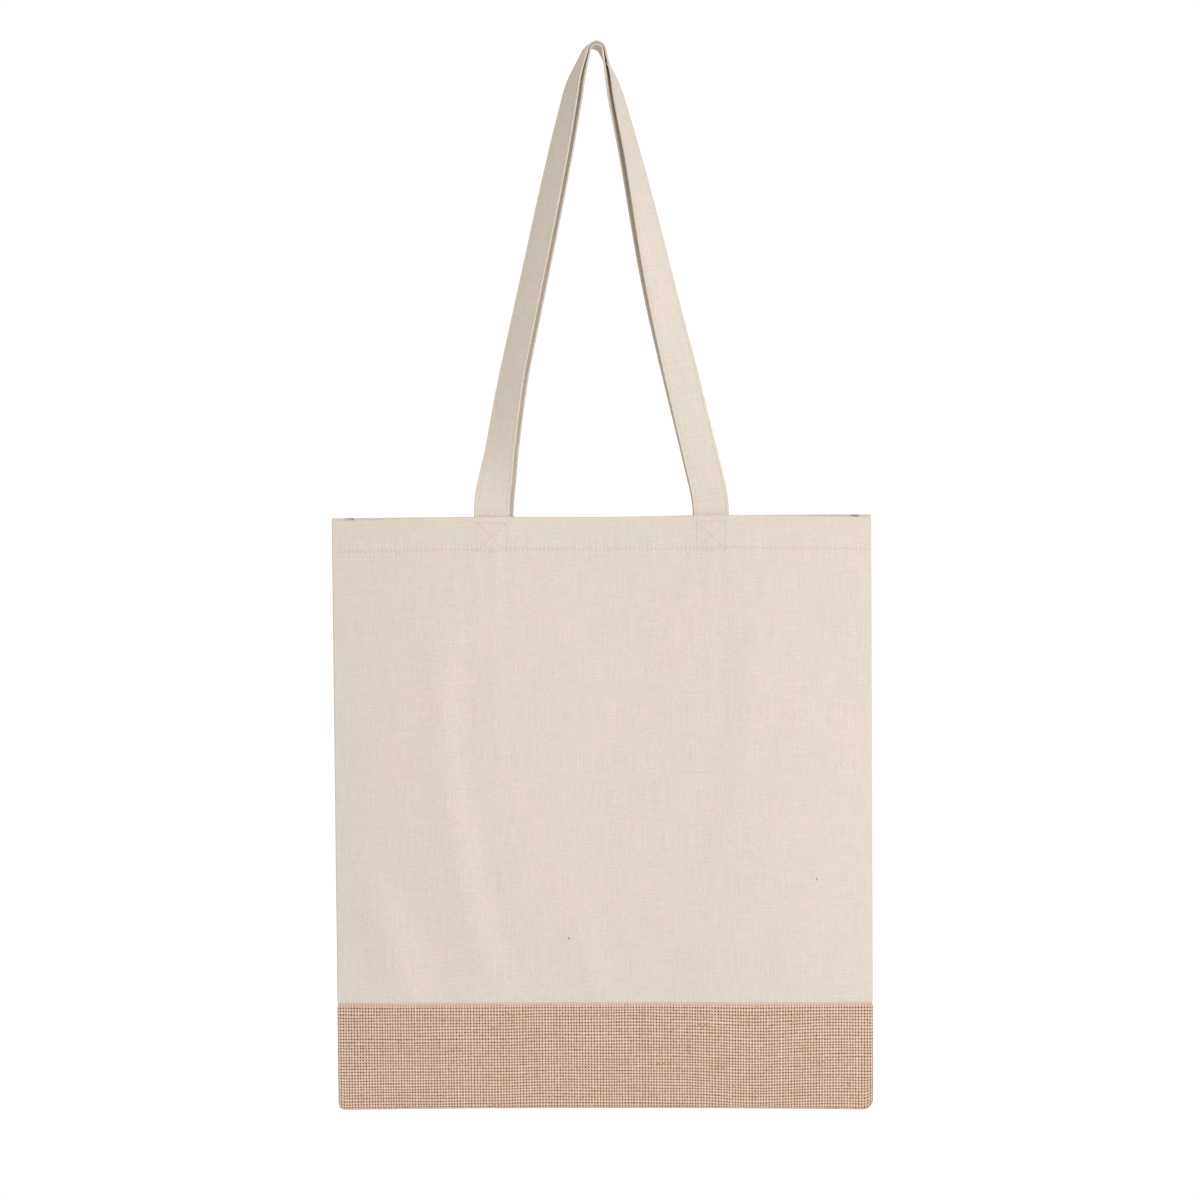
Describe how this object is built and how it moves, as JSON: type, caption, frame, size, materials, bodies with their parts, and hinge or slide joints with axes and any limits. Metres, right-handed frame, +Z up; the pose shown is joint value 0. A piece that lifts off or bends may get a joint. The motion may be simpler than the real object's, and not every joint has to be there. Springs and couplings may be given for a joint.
{
  "type": "canvas tote bag",
  "caption": "Flat canvas tote bag with a folded jute base, a turned hem and long flat shoulder handles sewn inside its top edge, hanging by the handles.",
  "frame": {"origin": "where a hook or peg holds the bag: on the underside of the top of the back handle's loop, which lies inside the front handle's", "axes": "+X along the bag's width to its right as seen from the front, -Y the way its front faces, +Z up"},
  "size_m": [0.3814, 0.0338, 0.7567],
  "materials": {
    "canvas": "plain woven natural cotton canvas, matt",
    "handle_canvas": "folded cotton canvas, matt",
    "jute": "coarse open plain-woven jute, matt",
    "thread": "spun polyester sewing thread, cream"
  },
  "bodies": {
    "bag": {"front_canvas_panel": "canvas", "back_canvas_panel": "canvas", "jute_band": "jute", "front_handle_left_end": "handle_canvas", "front_handle_right_end": "handle_canvas", "back_handle_left_end": "handle_canvas", "back_handle_right_end": "handle_canvas", "hem_stitch": "thread", "front_left_box_stitch": "thread", "front_right_box_stitch": "thread", "back_left_box_stitch": "thread", "back_right_box_stitch": "thread", "front_band_seam_thread": "thread", "back_band_seam_thread": "thread", "left_overlock_thread": "thread", "right_overlock_thread": "thread"},
    "front_handle": {"front_handle_loop": "handle_canvas", "front_handle_inner_stitch": "thread", "front_handle_outer_stitch": "thread"},
    "back_handle": {"back_handle_loop": "handle_canvas", "back_handle_inner_stitch": "thread", "back_handle_outer_stitch": "thread"}
  },
  "joints": [
    {"name": "front_handle_swing", "type": "hinge", "parent": "bag", "child": "front_handle", "pos_m": [0, -0.01215, -0.33078], "axis": [1, 0, 0], "range_deg": [0, 160]},
    {"name": "back_handle_swing", "type": "hinge", "parent": "bag", "child": "back_handle", "pos_m": [0, 0.01215, -0.33078], "axis": [-1, 0, 0], "range_deg": [0, 160]}
  ]
}
